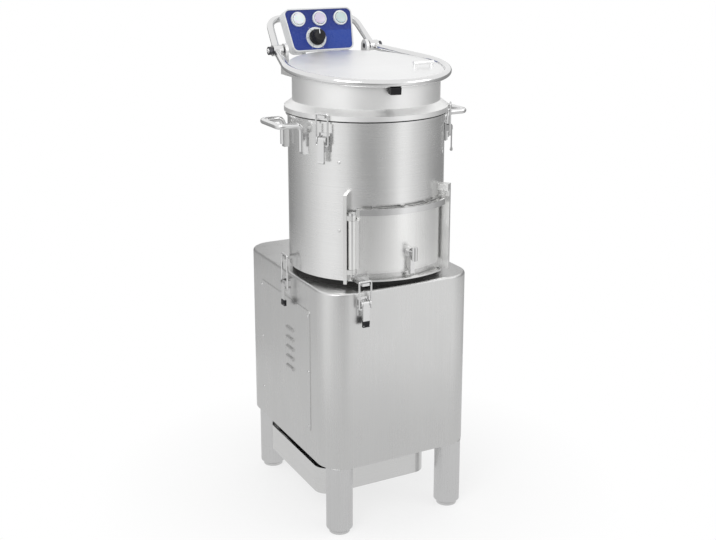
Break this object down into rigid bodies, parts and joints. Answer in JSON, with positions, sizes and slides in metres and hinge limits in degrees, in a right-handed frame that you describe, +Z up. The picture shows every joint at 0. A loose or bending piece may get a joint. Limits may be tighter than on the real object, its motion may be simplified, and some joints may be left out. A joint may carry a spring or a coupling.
{
  "type": "electric potato peeler",
  "caption": "Floor-standing potato peeler: drum with abrasive disc and liner, discharge door, hinged lid, tilted control box, belt drive and a filter drawer in the stand.",
  "frame": {"origin": "on the floor under the middle of the outer box", "axes": "+X to the right seen from the front, +Y to the back, +Z up"},
  "size_m": [0.45, 0.4697, 1.0687],
  "materials": {
    "brushed_steel": "fine vertical brushed stainless sheet",
    "polished_steel": "bright turned or drawn stainless",
    "leg_steel": "satin stainless tube",
    "cast_aluminium": "fine satin casting",
    "dark_steel": "black lacquered steel",
    "zinc": "grey zinc coat",
    "black_rubber": "matt moulded rubber",
    "abrasive": "bonded silicon carbide grit",
    "white_plastic": "smooth white moulding",
    "red_plastic": "pale red tinted cap",
    "green_plastic": "pale green tinted cap",
    "blue_panel": "fine textured blue panel",
    "black_plastic": "fine matt moulding",
    "grey_plastic": "satin pale grey moulding"
  },
  "bodies": {
    "stand": {"cabinet_shell": "brushed_steel", "base_plate": "brushed_steel", "side_cover": "brushed_steel", "legs": "leg_steel", "feet": "leg_steel", "drawer_rails": "zinc", "drum_ring": "black_rubber", "drum_shell": "brushed_steel", "drum_floor": "brushed_steel", "abrasive_liner": "abrasive", "bearing_housing": "zinc", "bearings": "polished_steel", "shaft_seal": "black_rubber", "drive_belt": "black_rubber", "motor": "dark_steel", "motor_plate": "zinc", "waste_pipe": "brushed_steel", "door_posts": "brushed_steel", "door_hinge_pin": "polished_steel", "chute_lip": "polished_steel", "hood_casting": "cast_aluminium", "hood_gasket": "black_rubber", "water_inlet": "polished_steel", "hinge_pins": "dark_steel", "control_box": "grey_plastic", "control_panel": "blue_panel", "bezel_rings": "white_plastic", "switch_blocks": "black_plastic", "cable_gland": "black_plastic", "wiring_conduit": "grey_plastic", "carry_handles": "polished_steel", "clamp_bases": "polished_steel", "clamp_catches": "polished_steel"},
    "drawer": {"filter_drawer": "brushed_steel", "filter_basket": "brushed_steel"},
    "rotor": {"abrasive_disc": "abrasive", "drive_shaft": "polished_steel", "driven_pulley": "cast_aluminium"},
    "motor_rotor": {"motor_pulley": "cast_aluminium"},
    "door": {"door_panel": "brushed_steel", "door_gasket": "black_rubber", "door_bar": "polished_steel"},
    "latch": {"door_latch": "polished_steel"},
    "lid": {"lid_disc": "brushed_steel", "lid_frame": "polished_steel", "lid_magnet": "black_plastic"},
    "lamp_button": {"lamp_button": "white_plastic"},
    "stop_button": {"stop_button": "red_plastic"},
    "start_button": {"start_button": "green_plastic"},
    "timer_knob": {"timer_knob": "black_plastic"},
    "hood_left_lever": {"hood_left_lever": "polished_steel"},
    "hood_left_loop": {"hood_left_loop": "polished_steel"},
    "hood_right_lever": {"hood_right_lever": "polished_steel"},
    "hood_right_loop": {"hood_right_loop": "polished_steel"},
    "drum_left_lever": {"drum_left_lever": "polished_steel"},
    "drum_left_loop": {"drum_left_loop": "polished_steel"},
    "drum_right_lever": {"drum_right_lever": "polished_steel"},
    "drum_right_loop": {"drum_right_loop": "polished_steel"},
    "drum_front_lever": {"drum_front_lever": "polished_steel"},
    "drum_front_loop": {"drum_front_loop": "polished_steel"}
  },
  "joints": [
    {"name": "drawer_slide", "type": "slide", "parent": "stand", "child": "drawer", "axis": [-1, 0, 0], "range_m": [0, 0.15]},
    {"name": "rotor_spin", "type": "hinge", "parent": "stand", "child": "rotor", "pos_m": [0, -0.038, 0.572], "axis": [0, 0, 1], "continuous": true},
    {"name": "motor_spin", "type": "hinge", "parent": "stand", "child": "motor_rotor", "pos_m": [0, 0.127, 0.33], "axis": [0, 0, 1], "continuous": true},
    {"name": "door_swing", "type": "hinge", "parent": "stand", "child": "door", "pos_m": [-0.10773, -0.18096, 0.633], "axis": [0, 0, -1], "range_deg": [0, 100]},
    {"name": "latch_turn", "type": "hinge", "parent": "door", "child": "latch", "pos_m": [0.00916, -0.21276, 0.606], "axis": [0.0523, -0.9986, 0], "range_deg": [0, 90]},
    {"name": "lid_hinge", "type": "hinge", "parent": "stand", "child": "lid", "pos_m": [0, 0.153, 0.984], "axis": [-1, 0, 0], "range_deg": [0, 75]},
    {"name": "lamp_press", "type": "slide", "parent": "stand", "child": "lamp_button", "axis": [0, 0.9298, -0.3681], "range_m": [0, 0.003], "stiffness_N_per_m": 400, "springref_m": -0.002},
    {"name": "stop_press", "type": "slide", "parent": "stand", "child": "stop_button", "axis": [0, 0.9298, -0.3681], "range_m": [0, 0.003], "stiffness_N_per_m": 400, "springref_m": -0.002},
    {"name": "start_press", "type": "slide", "parent": "stand", "child": "start_button", "axis": [0, 0.9298, -0.3681], "range_m": [0, 0.003], "stiffness_N_per_m": 400, "springref_m": -0.002},
    {"name": "timer_turn", "type": "hinge", "parent": "stand", "child": "timer_knob", "pos_m": [-0.015, 0.16815, 1.00621], "axis": [0, 0.9298, -0.3681], "range_deg": [0, 300]},
    {"name": "hood_left_open", "type": "hinge", "parent": "stand", "child": "hood_left_lever", "pos_m": [-0.14877, -0.13205, 0.838], "axis": [-0.5344, 0.8453, 0], "range_deg": [0, 120]},
    {"name": "hood_left_link", "type": "hinge", "parent": "hood_left_lever", "child": "hood_left_loop", "pos_m": [-0.14877, -0.13205, 0.826], "axis": [-0.5344, 0.8453, 0], "range_deg": [-120, 0]},
    {"name": "hood_right_open", "type": "hinge", "parent": "stand", "child": "hood_right_lever", "pos_m": [0.14877, -0.13205, 0.838], "axis": [-0.5344, -0.8453, 0], "range_deg": [0, 120]},
    {"name": "hood_right_link", "type": "hinge", "parent": "hood_right_lever", "child": "hood_right_loop", "pos_m": [0.14877, -0.13205, 0.826], "axis": [-0.5344, -0.8453, 0], "range_deg": [-120, 0]},
    {"name": "drum_left_open", "type": "hinge", "parent": "stand", "child": "drum_left_lever", "pos_m": [-0.1834, -0.018, 0.514], "axis": [0, 1, 0], "range_deg": [0, 120]},
    {"name": "drum_left_link", "type": "hinge", "parent": "drum_left_lever", "child": "drum_left_loop", "pos_m": [-0.1834, -0.018, 0.502], "axis": [0, 1, 0], "range_deg": [-120, 0]},
    {"name": "drum_right_open", "type": "hinge", "parent": "stand", "child": "drum_right_lever", "pos_m": [0.1834, -0.018, 0.514], "axis": [0, -1, 0], "range_deg": [0, 120]},
    {"name": "drum_right_link", "type": "hinge", "parent": "drum_right_lever", "child": "drum_right_loop", "pos_m": [0.1834, -0.018, 0.502], "axis": [0, -1, 0], "range_deg": [-120, 0]},
    {"name": "drum_front_open", "type": "hinge", "parent": "stand", "child": "drum_front_lever", "pos_m": [-0.095, -0.2145, 0.514], "axis": [-1, 0, 0], "range_deg": [0, 120]},
    {"name": "drum_front_link", "type": "hinge", "parent": "drum_front_lever", "child": "drum_front_loop", "pos_m": [-0.095, -0.2145, 0.502], "axis": [-1, 0, 0], "range_deg": [-120, 0]}
  ],
  "couplings": [
    {"joint": "motor_spin", "follows": "rotor_spin", "ratio": 3},
    {"joint": "hood_left_link", "follows": "hood_left_open", "ratio": -1},
    {"joint": "hood_right_link", "follows": "hood_right_open", "ratio": -1},
    {"joint": "drum_left_link", "follows": "drum_left_open", "ratio": -1},
    {"joint": "drum_right_link", "follows": "drum_right_open", "ratio": -1},
    {"joint": "drum_front_link", "follows": "drum_front_open", "ratio": -1}
  ]
}
